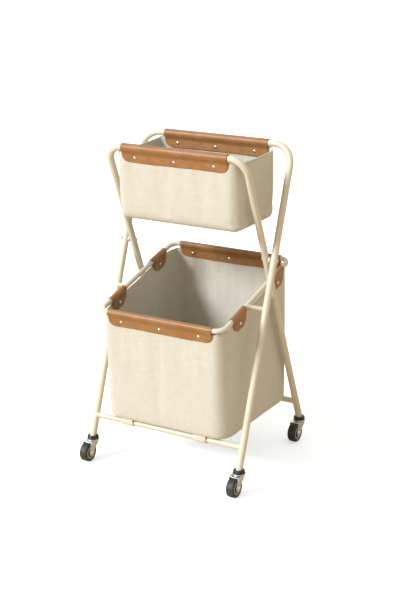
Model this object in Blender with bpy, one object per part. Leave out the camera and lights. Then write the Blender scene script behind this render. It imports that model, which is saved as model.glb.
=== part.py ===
"""Laundry sorter on wheels: two crossed tube frames, two fabric baskets, four swivel casters.

Metres, +Z up, the front at -Y. Everything hangs from an empty that stands on the floor
under the fold bolts, so heights and widths below are read from there.
"""
import math

import bmesh
import bpy
from mathutils import Matrix, Vector

# crossed frames
tubeRadius = 0.008
tubeWall = 0.0012
tubeSides = 10
footHeight = 0.0545        # centre of a leg's lower end
railHeight = 0.754         # centre line of a top rail
footReach = 0.170          # leg end, in front of or behind the bolts
railReach = 0.093          # top rail, behind or in front of the bolts
outerHalf = 0.202          # leg centre lines, left and right of the middle
innerHalf = 0.181
outerBend = 0.047          # bends between the legs and the top rails
innerBend = 0.041
crossbarRadius = 0.0065
crossbarHeight = 0.1038
boltRadius = 0.003
boltHeadRadius = 0.0055
clearance = 0.0003

# tilted rim that carries the lower basket
rimRadius = 0.006
rimHalfWidth = 0.1635
rimHalfDepth = 0.161
rimMiddle = -0.011
rimHeight = 0.4222
rimSlope = 0.258
rimCorner = 0.0235
stubRadius = 0.0048
stubOnRim = -0.060         # where a stub leaves the rim, and the height where it meets the leg
stubOnLeg = 0.4010

# baskets
clothThick = 0.003
lowerBagFloor = 0.1132
lowerBagHalfWidth = 0.1665
lowerBagFront = -0.1668
lowerBagBack = 0.1475
lowerBagBelowRim = 0.0125
lowerBagTopCorner = (0.026, 0.040)      # across, deep
lowerBagBottomCorner = (0.034, 0.040)
upperBagFloor = 0.5835
upperBagHalfWidth = 0.1590
upperBagFront = -0.0905
upperBagBack = 0.0860
upperBagCorner = (0.019, 0.019)
upperBagTop = 0.7400
upperBagWallTop = 0.744
bagFloorRound = 0.008

# leather
leatherThick = 0.0016
flapHalfLength = 0.1395
upperFlapDrop = 0.0325
lowerFlapDrop = 0.030
flapCorner = 0.018
cuffHalfLength = 0.0305
cuffDrop = 0.034
cuffPlaces = {"front": -0.1000, "back": 0.0795}
rivetSpread = 0.104
rivetHeadRadius = 0.0045
rivetPostRadius = 0.0014

# casters
wheelRadius = 0.023
wheelHalfWidth = 0.01025
trail = 0.0235             # the axle runs this far in front of the swivel pin
raceRadius = 0.0155
forkHalfWidth = 0.0125
forkPlate = 0.0014
forkTop = 0.0480
raceTop = 0.0497
cupFloor = 0.0500
cupTop = 0.0585
cupRadius = 0.0135
tyreSides = 24

# the box around the model is centred on the origin
middleY = (trail + wheelRadius - raceRadius) / 2

legRun = footReach + railReach
legRise = railHeight - footHeight
legLength = math.hypot(legRun, legRise)
legSlope = legRun / legRise
pivotHeight = footHeight + footReach / legSlope


def clearScene():
    for thing in list(bpy.data.objects):
        bpy.data.objects.remove(thing)


def paint(name, colour, roughness, metallic=0.0):
    material = bpy.data.materials.new(name)
    material.use_nodes = True
    shader = material.node_tree.nodes["Principled BSDF"]
    shader.inputs["Base Color"].default_value = (*colour, 1.0)
    shader.inputs["Roughness"].default_value = roughness
    shader.inputs["Metallic"].default_value = metallic
    return material


def place(name, mesh, position=(0.0, 0.0, 0.0), turn=(0.0, 0.0, 0.0)):
    thing = bpy.data.objects.new(name, mesh)
    bpy.context.collection.objects.link(thing)
    thing.location = position
    thing.rotation_euler = turn
    thing.parent = stand
    return thing


def makeObject(name, bm, material, position=(0.0, 0.0, 0.0)):
    mesh = bpy.data.meshes.new(name)
    bm.to_mesh(mesh)
    bm.free()
    if material is not None:
        mesh.materials.append(material)
    return place(name, mesh, position)


def freeze(thing):
    """Turn the modifiers' result into the object's own mesh."""
    bpy.context.view_layer.update()
    graph = bpy.context.evaluated_depsgraph_get()
    mesh = bpy.data.meshes.new_from_object(thing.evaluated_get(graph))
    thing.modifiers.clear()
    thing.data = mesh


def thicken(thing, thickness, offset):
    solid = thing.modifiers.new("thickness", "SOLIDIFY")
    solid.thickness = thickness
    solid.offset = offset
    solid.use_even_offset = True
    freeze(thing)


def combine(thing, tool, operation="DIFFERENCE"):
    step = thing.modifiers.new("combine", "BOOLEAN")
    step.object = tool
    step.operation = operation
    step.solver = "EXACT"
    freeze(thing)


def drop(thing):
    bpy.data.objects.remove(thing)


# ---- shapes ----

def arc(centreX, centreY, radius, start, end, steps):
    """Points of an arc, both ends included, with the angles in degrees."""
    points = []
    for step in range(steps + 1):
        angle = math.radians(start + (end - start) * step / steps)
        points.append((centreX + radius * math.cos(angle), centreY + radius * math.sin(angle)))
    return points


def roundedRectangle(halfWidth, front, back, cornerX, cornerY, steps=4):
    points = []
    for sideX, sideY, start in ((1, 1, 0), (-1, 1, 90), (-1, -1, 180), (1, -1, 270)):
        middle = sideX * (halfWidth - cornerX), (back - cornerY if sideY > 0 else front + cornerY)
        for x, y in arc(0.0, 0.0, 1.0, start, start + 90, steps):
            points.append((middle[0] + cornerX * x, middle[1] + cornerY * y))
    return points


def skin(rings, closed=False):
    """A bmesh of quads between rings of points; closed joins the last ring to the first."""
    bm = bmesh.new()
    rows = [[bm.verts.new(point) for point in ring] for ring in rings]
    count = len(rings[0])
    pairs = list(zip(rows, rows[1:]))
    if closed:
        pairs.append((rows[-1], rows[0]))
    for low, high in pairs:
        for k in range(count):
            after = (k + 1) % count
            bm.faces.new((low[k], low[after], high[after], high[k]))
    return bm, rows


def sweepRings(path, normal, radius, sides, loop=False):
    """Rings across a flat path; normal stands on the path's plane."""
    rings = []
    count = len(path)
    for i, point in enumerate(path):
        before = path[i - 1] if loop or i else point
        after = path[(i + 1) % count] if loop or i < count - 1 else point
        along = (after - before).normalized()
        across = along.cross(normal)
        ring = []
        for k in range(sides):
            angle = 2 * math.pi * (k + 0.5) / sides
            ring.append(point + radius * (math.cos(angle) * normal + math.sin(angle) * across))
        rings.append(ring)
    return rings


def pipe(name, path, normal, radius, material):
    """An open-ended tube with a wall."""
    bm, rows = skin(sweepRings(path, normal, radius, tubeSides))
    thing = makeObject(name, bm, material)
    thicken(thing, tubeWall, -1.0)
    return thing


def turned(profile, sides, hollow=False, phase=0.0):
    """A turned solid about Z from (radius, height) points; hollow has a bore."""
    rings = []
    for radius, height in profile:
        ring = []
        for k in range(sides):
            angle = 2 * math.pi * (k + phase) / sides
            ring.append((radius * math.cos(angle), radius * math.sin(angle), height))
        rings.append(ring)
    bm, rows = skin(rings, closed=hollow)
    if not hollow:
        bm.faces.new(rows[0])
        bm.faces.new(rows[-1])
    bmesh.ops.recalc_face_normals(bm, faces=bm.faces)
    return bm


def rodBetween(start, end, radius, sides=16):
    start = Vector(start)
    end = Vector(end)
    bm = turned([(radius, 0.0), (radius, (end - start).length)], sides, phase=0.5)
    aim = (end - start).to_track_quat("Z", "Y").to_matrix().to_4x4()
    bm.transform(Matrix.Translation(start) @ aim)
    return bm


def box(low, high):
    bm = bmesh.new()
    bmesh.ops.create_cube(bm, size=1.0)
    size = Vector(high) - Vector(low)
    middle = (Vector(high) + Vector(low)) / 2
    bm.transform(Matrix.Translation(middle) @ Matrix.Diagonal((*size, 1.0)))
    return bm


def plateAcrossX(outline, low, high):
    """A flat plate with a (y, z) outline, between two x values."""
    bm = bmesh.new()
    face = bm.faces.new([bm.verts.new((low, y, z)) for y, z in outline])
    grown = bmesh.ops.extrude_face_region(bm, geom=[face])
    moved = [part for part in grown["geom"] if isinstance(part, bmesh.types.BMVert)]
    bmesh.ops.translate(bm, verts=moved, vec=(high - low, 0.0, 0.0))
    bmesh.ops.recalc_face_normals(bm, faces=bm.faces)
    return bm


# ---- frames ----

def legPoint(side, lean, height):
    """A point on a leg's centre line; lean is -1 where its foot is at the front."""
    half = outerHalf if lean < 0 else innerHalf
    return Vector((side * half, lean * (footReach - legSlope * (height - footHeight)), height))


def legDirection(lean):
    return Vector((0.0, -lean * legRun, legRise)).normalized()


def frameTube(name, half, bend, lean):
    up = legDirection(lean)
    foot = Vector((0.0, lean * footReach, footHeight))
    top = legLength
    flat = [(half, 0.0)]
    flat += arc(half - bend, top - bend, bend, 0, 90, 5)
    flat += arc(-half + bend, top - bend, bend, 90, 180, 5)
    flat.append((-half, 0.0))
    path = [foot + Vector((x, 0.0, 0.0)) + up * s for x, s in flat]
    normal = Vector((1.0, 0.0, 0.0)).cross(up)
    tube = pipe(name, path, normal, tubeRadius, ivory)
    bore = makeObject("bore", rodBetween((-0.25, 0.0, pivotHeight), (0.25, 0.0, pivotHeight),
                                         boltRadius + clearance, 12), None)
    combine(tube, bore)
    drop(bore)
    return tube


def crossbar(name, lean):
    """A tube between the legs of one frame, its ends cut to fit round them."""
    left = legPoint(-1, lean, crossbarHeight)
    right = legPoint(1, lean, crossbarHeight)
    bar = pipe(name, [left, right], Vector((0.0, 0.0, 1.0)), crossbarRadius, ivory)
    up = legDirection(lean) * 0.04
    for end in (left, right):
        cope = makeObject("cope", rodBetween(end - up, end + up, tubeRadius + clearance, 24), None)
        combine(bar, cope)
        drop(cope)
    return bar


def pivotHardware(side, label):
    """The bolt through both legs of one side, and the washer that keeps them apart."""
    boltStart = innerHalf - tubeRadius - clearance
    boltEnd = outerHalf + tubeRadius + clearance
    profile = [(0.002, boltStart - 0.0015), (0.0040, boltStart - 0.0012), (0.0050, boltStart)]
    profile += [(boltRadius, boltStart), (boltRadius, boltEnd)]
    profile += [(boltHeadRadius, boltEnd), (boltHeadRadius, boltEnd + 0.0004)]
    profile += [(0.0040, boltEnd + 0.0012), (0.002, boltEnd + 0.0015)]
    bolt = turned(profile, 12)
    bolt.transform(Matrix.Rotation(math.radians(90 * side), 4, "Y"))
    makeObject(f"pivot_bolt_{label}", bolt, ivory, (0.0, 0.0, pivotHeight))
    low = innerHalf + tubeRadius + clearance
    high = outerHalf - tubeRadius - clearance
    bore = boltRadius + clearance
    spacer = turned([(bore, low), (0.0065, low), (0.0065, high), (bore, high)], 12, hollow=True)
    spacer.transform(Matrix.Rotation(math.radians(90 * side), 4, "Y"))
    makeObject(f"pivot_spacer_{label}", spacer, ivory, (0.0, 0.0, pivotHeight))


# ---- rim ----

def rimRing():
    flat = roundedRectangle(rimHalfWidth, rimFront, rimBack, rimCorner, rimCorner)
    path = [Vector((x, y, rimZ(y))) for x, y in flat]
    normal = Vector((0.0, -rimSlope, 1.0)).normalized()
    bm, rows = skin(sweepRings(path, normal, rimRadius, 10, loop=True), closed=True)
    bmesh.ops.recalc_face_normals(bm, faces=bm.faces)
    return makeObject("lower_rim_ring", bm, ivory)


def rimStub(side, label):
    """The short bar that carries the rim on an outer leg."""
    onLeg = legPoint(side, -1, stubOnLeg)
    onRim = Vector((side * rimHalfWidth, stubOnRim, rimZ(stubOnRim)))
    stub = makeObject(f"rim_stub_{label}", rodBetween(onRim, onLeg, stubRadius, 12), ivory)
    up = legDirection(-1) * 0.03
    along = Vector((0.0, 1.0, rimSlope)).normalized() * 0.03
    legCut = rodBetween(onLeg - up, onLeg + up, tubeRadius + clearance, 24)
    rimCut = rodBetween(onRim - along, onRim + along, rimRadius + clearance, 20)
    for shape in (legCut, rimCut):
        cope = makeObject("cope", shape, None)
        combine(stub, cope)
        drop(cope)
    return stub


# ---- baskets ----

def openBag(name, rings, material):
    """A shell from rings of points, lowest first, closed underneath and open at the top."""
    bm, rows = skin(rings)
    bm.faces.new(list(reversed(rows[0])))
    bag = makeObject(name, bm, material)
    thicken(bag, clothThick, -1.0)
    return bag


def bagRings(floor, bottom, top, topHeight, levels):
    """bottom and top are (half width, front, back, corner x, corner y), with a straight wall."""
    rings = []
    halfWidth, front, back, cornerX, cornerY = bottom
    for angle in (0, 45):
        inset = bagFloorRound * (1 - math.sin(math.radians(angle)))
        lift = bagFloorRound * (1 - math.cos(math.radians(angle)))
        flat = roundedRectangle(halfWidth - inset, front + inset, back - inset,
                                cornerX - inset, cornerY - inset)
        rings.append([(x, y, floor + lift) for x, y in flat])
    start = floor + bagFloorRound
    for level in levels:
        sizes = [a + (b - a) * level for a, b in zip(bottom, top)]
        flat = roundedRectangle(*sizes)
        rings.append([(x, y, start + (topHeight(x, y) - start) * level) for x, y in flat])
    return rings


def wallSlope(bagFace, tubeAt, tubeHeight, floor):
    """How far a wall leans out for each metre up, if its middle aims at a tube's centre."""
    foot = bagFace - clothThick / 2
    return (tubeAt - foot) / (tubeHeight - floor - bagFloorRound)


rimFront = rimMiddle - rimHalfDepth
rimBack = rimMiddle + rimHalfDepth


def rimZ(y):
    return rimHeight + rimSlope * (y - rimMiddle)


frontSlope = wallSlope(-lowerBagFront, -rimFront, rimZ(rimFront), lowerBagFloor)
backSlope = wallSlope(lowerBagBack, rimBack, rimZ(rimBack), lowerBagFloor)
upperFrontSlope = wallSlope(-upperBagFront, railReach, railHeight, upperBagFloor)
upperBackSlope = wallSlope(upperBagBack, railReach, railHeight, upperBagFloor)
wallDrop = railHeight - upperBagWallTop
upperBagTopFront = -railReach - clothThick / 2 + upperFrontSlope * wallDrop
upperBagTopBack = railReach + clothThick / 2 - upperBackSlope * wallDrop


def sideSlope(y):
    return wallSlope(lowerBagHalfWidth, rimHalfWidth, rimZ(y), lowerBagFloor)


def lowerBag():
    half = clothThick / 2
    bottom = (lowerBagHalfWidth, lowerBagFront, lowerBagBack, *lowerBagBottomCorner)
    front = rimFront - half + frontSlope * lowerBagBelowRim
    back = rimBack + half - backSlope * lowerBagBelowRim
    side = rimHalfWidth + half - sideSlope(rimMiddle) * lowerBagBelowRim
    rings = bagRings(lowerBagFloor, bottom, (side, front, back, *lowerBagTopCorner),
                     lambda x, y: rimZ(y) - lowerBagBelowRim, (0.0, 0.5, 1.0))
    return openBag("lower_bag", rings, cloth)


def upperBagEdge(x, y):
    """The end walls reach up to the rails; the side walls are cut lower."""
    reach = -upperBagTopFront if y < 0 else upperBagTopBack
    rise = min(1.0, max(0.0, (abs(y) - reach + 0.006) / 0.004))
    return upperBagTop + (upperBagWallTop - upperBagTop) * rise


def upperBag():
    bottom = (upperBagHalfWidth + 0.0025, upperBagFront, upperBagBack, *upperBagCorner)
    top = (upperBagHalfWidth, upperBagTopFront, upperBagTopBack, *upperBagCorner)
    rings = bagRings(upperBagFloor, bottom, top, upperBagEdge, (0.0, 0.5, 1.0))
    return openBag("upper_bag", rings, cloth)


def baseBoard():
    gap = clothThick + bagFloorRound
    cornerX, cornerY = lowerBagBottomCorner
    flat = roundedRectangle(lowerBagHalfWidth - gap, lowerBagFront + gap,
                            lowerBagBack - gap, cornerX - gap, cornerY - gap)
    low = lowerBagFloor + clothThick + clearance
    bm, rows = skin([[(x, y, low) for x, y in flat], [(x, y, low + 0.003) for x, y in flat]])
    bm.faces.new(list(reversed(rows[0])))
    bm.faces.new(rows[1])
    return makeObject("lower_base_board", bm, board)


# ---- leather ----

def wrapSection(radius, reach):
    """Half of the leather's cross-section, (across, height) from the tube's centre."""
    middle = radius + 0.0004 + leatherThick / 2
    pinch = clothThick / 2 + clearance + leatherThick / 2
    half = arc(0.0, 0.0, middle, 90, -35, 5)
    half.append((pinch + 0.0009, -radius - 0.0032))
    half.append((pinch, -radius - 0.0058))
    for part in (0.5, 0.8, 0.94, 1.0):
        half.append((pinch, -(radius + 0.0058) * (1 - part) - reach * part))
    return half


def cornered(halfLength, corner):
    """Half length of a strip at a distance from its lower edge, with a rounded corner."""
    def width(fromEdge):
        if fromEdge >= corner:
            return halfLength
        return halfLength - corner + math.sqrt(corner ** 2 - (corner - fromEdge) ** 2)
    return width


def shield(halfLength, reach):
    """Half length of a cuff, which tapers and ends round."""
    def width(fromEdge):
        share = min(1.0, max(0.0, fromEdge / reach))
        return halfLength * math.sqrt(max(0.12, 1 - (1 - share) ** 2.2))
    return width


def wrap(name, radius, reach, width, matrix):
    """A leather strip folded over a tube along local X, down to reach on both sides."""
    half = wrapSection(radius, reach)
    section = [(-across, height) for across, height in reversed(half[1:])] + half
    bm = bmesh.new()
    rows = []
    for across, height in section:
        x = width(height + reach)
        rows.append([bm.verts.new((-x, across, height)), bm.verts.new((x, across, height))])
    for low, high in zip(rows, rows[1:]):
        bm.faces.new((low[0], low[1], high[1], high[0]))
    bm.transform(matrix)
    strip = makeObject(name, bm, leather)
    thicken(strip, leatherThick, 0.0)
    return strip


def hanging(point, lean, yaw=0.0, pitch=0.0):
    """Where a strip hangs: yaw about Z, pitch along the strip, lean of the wall below it."""
    turn = Matrix.Rotation(yaw, 4, "Z") @ Matrix.Rotation(pitch, 4, "Y")
    return Matrix.Translation(point) @ turn @ Matrix.Rotation(lean, 4, "X")


def rivetShape():
    stack = 2 * leatherThick + clothThick + 4 * clearance
    face = stack / 2
    cap = [(0.0028, face + 0.0019), (rivetHeadRadius, face), (rivetPostRadius, face)]
    bm = turned(cap + [(radius, -height) for radius, height in reversed(cap)], 8)
    bm.transform(Matrix.Rotation(math.radians(90), 4, "X"))
    return bm


def riveted(prefix, strip, bag, matrix, spots, down):
    """Double-capped rivets through a strip and the bag's wall."""
    for label, along in spots:
        spot = matrix @ Matrix.Translation((along, 0.0, -down))
        bore = rodBetween((0.0, -0.006, 0.0), (0.0, 0.006, 0.0), rivetPostRadius + clearance, 8)
        bore.transform(spot)
        tool = makeObject("bore", bore, None)
        combine(strip, tool)
        combine(bag, tool)
        drop(tool)
        rivet = rivetShape()
        rivet.transform(spot.to_3x3().to_4x4())
        makeObject(f"{prefix}{label}", rivet, nickel, spot.to_translation())


def longFlaps(upper, lower):
    rows = (
        ("upper_front", tubeRadius, -railReach, railHeight, upperFrontSlope, upperFlapDrop, upper),
        ("upper_back", tubeRadius, railReach, railHeight, upperBackSlope, upperFlapDrop, upper),
        ("lower_front", rimRadius, rimFront, rimZ(rimFront), frontSlope, lowerFlapDrop, lower),
        ("lower_back", rimRadius, rimBack, rimZ(rimBack), backSlope, lowerFlapDrop, lower),
    )
    for name, radius, y, z, slope, reach, bag in rows:
        matrix = hanging((0.0, y, z), math.atan(slope), 0.0 if y < 0 else math.pi)
        right = rivetSpread if y < 0 else -rivetSpread
        spots = [("_left", -right), ("_middle", 0.0), ("_right", right)]
        strip = wrap(f"{name}_flap", radius, reach, cornered(flapHalfLength, flapCorner), matrix)
        riveted(f"{name}_rivet", strip, bag, matrix, spots, reach - 0.0105)


def rimCuffs(lower):
    pitch = math.atan(rimSlope)
    for side, label in ((-1, "left"), (1, "right")):
        for end, y in cuffPlaces.items():
            point = (side * rimHalfWidth, y, rimZ(y))
            lean = math.atan(sideSlope(y))
            matrix = hanging(point, lean, math.radians(90 * side), -side * pitch)
            strip = wrap(f"{end}_{label}_cuff", rimRadius, cuffDrop,
                         shield(cuffHalfLength, cuffDrop), matrix)
            riveted(f"{end}_{label}_cuff_rivet", strip, lower, matrix, [("", 0.0)], 0.0215)


def barLoop(name, x):
    """A webbing loop from the lower bag's floor, round the front crossbar."""
    barY = legPoint(1, -1, crossbarHeight).y
    reach = crossbarRadius + 0.0004 + 0.0007
    path = [(barY - reach, lowerBagFloor - clearance)]
    path += arc(barY, crossbarHeight, reach, 180, 360, 8)
    path.append((barY + reach, lowerBagFloor - clearance))
    bm = bmesh.new()
    rows = [[bm.verts.new((x - 0.016, y, z)), bm.verts.new((x + 0.016, y, z))] for y, z in path]
    for low, high in zip(rows, rows[1:]):
        bm.faces.new((low[0], low[1], high[1], high[0]))
    strap = makeObject(name, bm, cloth)
    thicken(strap, 0.0014, 0.0)
    return strap


# ---- casters ----

def forkMesh():
    """The pressed fork with its ball race and swivel pin, about the swivel axis."""
    frontEdge = -trail - 0.001
    backEdge = 0.0055
    top = forkTop - 0.0015
    outline = [(frontEdge, top + 0.0005), (backEdge, top + 0.0005), (backEdge - 0.001, top - 0.006)]
    outline += arc(-trail, wheelRadius, 0.0095, 15, -195, 6)
    outline.append((frontEdge - 0.002, top - 0.006))
    fork = makeObject("fork", box((-forkHalfWidth, frontEdge, top),
                                  (forkHalfWidth, backEdge, forkTop)), chrome)
    tools = []
    for side in (-1, 1):
        edges = sorted((side * forkHalfWidth, side * (forkHalfWidth - forkPlate)))
        tools.append((plateAcrossX(outline, *edges), "UNION"))
    race = [(raceRadius - 0.001, forkTop - 0.0003), (raceRadius, forkTop + 0.0004),
            (raceRadius, raceTop - 0.0004), (raceRadius - 0.001, raceTop),
            (boltRadius, raceTop), (boltRadius, raceTop + 0.0066)]
    tools.append((turned(race, 16), "UNION"))
    tools.append((rodBetween((-0.02, -trail, wheelRadius), (0.02, -trail, wheelRadius),
                             boltRadius + clearance, 12), "DIFFERENCE"))
    for shape, operation in tools:
        tool = makeObject("tool", shape, None)
        combine(fork, tool, operation)
        drop(tool)
    mesh = fork.data
    drop(fork)
    return mesh


def cupMesh():
    """The black socket under a leg that leans back: cup, plug up the tube, bore for the pin."""
    up = legDirection(-1)
    end = Vector((0.0, 0.0, footHeight))
    cup = makeObject("cup", turned([(cupRadius - 0.0008, cupFloor), (cupRadius, cupFloor + 0.0008),
                                    (cupRadius, cupTop - 0.002), (cupRadius - 0.002, cupTop)],
                                   16), blackPlastic)
    pocket = rodBetween(end - up * clearance, end + up * 0.02, tubeRadius + clearance, 16)
    plugRadius = (tubeRadius - tubeWall) * math.cos(math.pi / tubeSides) - clearance
    plug = rodBetween(end - up * 0.0025, end + up * 0.028, plugRadius, 12)
    pin = rodBetween((0.0, 0.0, cupFloor - 0.001), (0.0, 0.0, raceTop + 0.0066 + clearance),
                     boltRadius + clearance, 12)
    for shape, operation in ((pocket, "DIFFERENCE"), (plug, "UNION"), (pin, "DIFFERENCE")):
        tool = makeObject("tool", shape, None)
        combine(cup, tool, operation)
        drop(tool)
    mesh = cup.data
    drop(cup)
    return mesh


def wheelParts():
    """Tyre, hub and axle meshes about a local X axis through their middle."""
    grow = 1 / math.cos(math.pi / tyreSides)
    shoulder = wheelHalfWidth
    tyre = [(0.0165, -0.0095), (0.0198, -shoulder), (0.0214, -shoulder), (wheelRadius, -0.0084),
            (wheelRadius, 0.0084), (0.0214, shoulder), (0.0198, shoulder), (0.0165, 0.0095)]
    hub = [(0.0034, -0.0095), (0.0075, -0.0095), (0.0085, -0.0060), (0.0125, -0.0060),
           (0.0130, -0.0098), (0.0162, -0.0092)]
    hub += [(radius, -x) for radius, x in reversed(hub)]
    axle = [(0.0038, -0.0153), (0.0052, -0.0143), (0.0052, -forkHalfWidth - clearance),
            (boltRadius, -forkHalfWidth - clearance)]
    axle += [(radius, -x) for radius, x in reversed(axle)]
    shapes = (
        ("tyre", turned([(r * grow, x) for r, x in tyre], tyreSides, hollow=True, phase=0.5),
         rubber),
        ("hub", turned(hub, 16, hollow=True), hubGrey),
        ("axle", turned(axle, 10), chrome),
    )
    meshes = {}
    for name, bm, material in shapes:
        bm.transform(Matrix.Rotation(math.radians(90), 4, "Y"))
        thing = makeObject(name, bm, material)
        meshes[name] = thing.data
        drop(thing)
    return meshes


def casters():
    fork = forkMesh()
    cup = cupMesh()
    wheel = wheelParts()
    for lean, end in ((-1, "front"), (1, "back")):
        for side, label in ((-1, "left"), (1, "right")):
            foot = legPoint(side, lean, footHeight)
            prefix = f"{end}_{label}"
            turn = (0.0, 0.0, 0.0 if lean < 0 else math.pi)
            place(f"{prefix}_caster_socket", cup, (foot.x, foot.y, 0.0), turn)
            place(f"{prefix}_caster_fork", fork, (foot.x, foot.y, 0.0))
            middle = (foot.x, foot.y - trail, wheelRadius)
            place(f"{prefix}_wheel_axle", wheel["axle"], middle)
            place(f"{prefix}_wheel_hub", wheel["hub"], middle)
            place(f"{prefix}_tyre", wheel["tyre"], middle)


clearScene()
stand = bpy.data.objects.new("stand", None)
bpy.context.collection.objects.link(stand)
stand.location = (0.0, middleY, 0.0)

ivory = paint("ivory_paint", (0.80, 0.74, 0.63), 0.35)
cloth = paint("linen", (0.70, 0.61, 0.47), 0.9)
board = paint("covered_board", (0.66, 0.57, 0.44), 0.9)
leather = paint("tan_leather", (0.42, 0.19, 0.075), 0.5)
nickel = paint("nickel", (0.62, 0.60, 0.57), 0.25, 1.0)
chrome = paint("chrome", (0.75, 0.75, 0.76), 0.15, 1.0)
rubber = paint("black_rubber", (0.02, 0.02, 0.022), 0.6)
hubGrey = paint("grey_nylon", (0.52, 0.52, 0.50), 0.5)
blackPlastic = paint("black_plastic", (0.015, 0.015, 0.016), 0.4)

frameTube("outer_frame_tube", outerHalf, outerBend, -1)
frameTube("inner_frame_tube", innerHalf, innerBend, 1)
crossbar("front_crossbar", -1)
crossbar("rear_crossbar", 1)
for sideSign, sideName in ((-1, "left"), (1, "right")):
    pivotHardware(sideSign, sideName)
    rimStub(sideSign, sideName)
rimRing()
lowerCloth = lowerBag()
upperCloth = upperBag()
baseBoard()
longFlaps(upperCloth, lowerCloth)
rimCuffs(lowerCloth)
barLoop("left_bar_loop", -0.108)
barLoop("right_bar_loop", 0.0925)
casters()
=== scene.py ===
import math

import bpy
from mathutils import Matrix, Vector


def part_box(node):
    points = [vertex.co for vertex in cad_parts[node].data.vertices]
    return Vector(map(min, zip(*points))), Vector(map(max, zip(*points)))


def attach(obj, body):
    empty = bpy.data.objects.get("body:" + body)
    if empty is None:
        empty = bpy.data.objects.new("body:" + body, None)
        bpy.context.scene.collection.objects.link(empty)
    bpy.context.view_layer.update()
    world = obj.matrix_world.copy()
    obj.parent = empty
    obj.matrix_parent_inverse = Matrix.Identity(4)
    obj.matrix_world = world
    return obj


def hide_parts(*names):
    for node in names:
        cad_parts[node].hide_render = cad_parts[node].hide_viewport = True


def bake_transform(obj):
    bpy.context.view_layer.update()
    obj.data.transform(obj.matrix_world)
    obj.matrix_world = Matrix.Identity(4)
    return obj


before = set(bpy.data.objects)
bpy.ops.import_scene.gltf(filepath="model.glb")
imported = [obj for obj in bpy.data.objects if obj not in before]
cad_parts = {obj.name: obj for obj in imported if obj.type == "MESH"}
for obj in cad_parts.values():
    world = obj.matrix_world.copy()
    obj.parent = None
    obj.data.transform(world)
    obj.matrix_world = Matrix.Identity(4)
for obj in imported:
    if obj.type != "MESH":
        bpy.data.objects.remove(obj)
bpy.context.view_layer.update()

# the fold bolts give the middle of the crossed frames
boltLow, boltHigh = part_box("pivot_bolt_left")
foldY = (boltLow[1] + boltHigh[1]) / 2
foldZ = (boltLow[2] + boltHigh[2]) / 2
print("frame loaded, fold bolts at", round(foldY, 4), round(foldZ, 4))


# ---- camera, light and floor ----

cameraView = {"place": (1.6089, -2.6210, 1.4024), "azimuth": 31.326, "elevation": 17.979,
              "roll": -1.075, "lens": 82.33, "shiftX": 0.00065, "shiftY": -0.01356}


def addCamera(view):
    azimuth = math.radians(view["azimuth"])
    elevation = math.radians(view["elevation"])
    forward = Vector((-math.sin(azimuth) * math.cos(elevation),
                      math.cos(azimuth) * math.cos(elevation), -math.sin(elevation)))
    turn = forward.to_track_quat("-Z", "Y").to_matrix()
    turn = turn @ Matrix.Rotation(math.radians(view["roll"]), 3, "Z")
    bpy.ops.object.camera_add(location=view["place"], rotation=turn.to_euler())
    camera = bpy.context.object
    camera.data.lens = view["lens"]
    camera.data.sensor_width = 36
    camera.data.shift_x = view["shiftX"]
    camera.data.shift_y = view["shiftY"]
    camera.data.clip_start = 0.05
    bpy.context.scene.camera = camera


studioLight = {"skyForCamera": 1.0, "skyForObject": 1.0, "skyColour": (0.75, 0.66, 0.52),
               "keyPlace": (-1.7, -2.6, 2.3), "keySpread": 16.0, "keyPower": 3.75,
               "keyColour": (0.95, 1.0, 1.0), "aim": (0.0, 0.0, 0.42)}


def addKeyLight(light):
    aim = Vector(light["aim"]) - Vector(light["keyPlace"])
    bpy.ops.object.light_add(type="SUN", location=light["keyPlace"],
                             rotation=aim.to_track_quat("-Z", "Y").to_euler())
    lamp = bpy.context.object
    lamp.name = "keyLight"
    lamp.data.energy = light["keyPower"]
    lamp.data.angle = math.radians(light["keySpread"])
    lamp.data.color = light["keyColour"]


def addWorld(light):
    world = bpy.data.worlds.new("studioWorld")
    bpy.context.scene.world = world
    world.use_nodes = True
    tree = world.node_tree
    tree.nodes.clear()
    output = tree.nodes.new("ShaderNodeOutputWorld")
    mix = tree.nodes.new("ShaderNodeMixShader")
    path = tree.nodes.new("ShaderNodeLightPath")
    sky = tree.nodes.new("ShaderNodeBackground")
    sky.inputs["Color"].default_value = (*light["skyColour"], 1.0)
    sky.inputs["Strength"].default_value = light["skyForObject"]
    seen = tree.nodes.new("ShaderNodeBackground")
    seen.inputs["Color"].default_value = (1.0, 1.0, 1.0, 1.0)
    seen.inputs["Strength"].default_value = light["skyForCamera"]
    either = tree.nodes.new("ShaderNodeMath")
    either.operation = "MAXIMUM"
    tree.links.new(path.outputs["Is Camera Ray"], either.inputs[0])
    tree.links.new(path.outputs["Is Glossy Ray"], either.inputs[1])
    tree.links.new(either.outputs["Value"], mix.inputs["Fac"])
    tree.links.new(sky.outputs["Background"], mix.inputs[1])
    tree.links.new(seen.outputs["Background"], mix.inputs[2])
    tree.links.new(mix.outputs["Shader"], output.inputs["Surface"])


# ---- shader groups: each puts out a mask, a shade or a height ----

def makeGroup(name, inputs, outputs):
    tree = bpy.data.node_groups.new(name, "ShaderNodeTree")
    for label, kind, value in inputs:
        socket = tree.interface.new_socket(label, in_out="INPUT", socket_type=kind)
        if value is not None:
            socket.default_value = value
    for label, kind in outputs:
        tree.interface.new_socket(label, in_out="OUTPUT", socket_type=kind)
    return tree, tree.nodes.new("NodeGroupInput"), tree.nodes.new("NodeGroupOutput")


def mathNode(tree, operation, first, second=None, third=None):
    step = tree.nodes.new("ShaderNodeMath")
    step.operation = operation
    for place, value in enumerate((first, second, third)):
        if value is None:
            continue
        if isinstance(value, (int, float)):
            step.inputs[place].default_value = value
        else:
            tree.links.new(value, step.inputs[place])
    return step.outputs["Value"]


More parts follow.
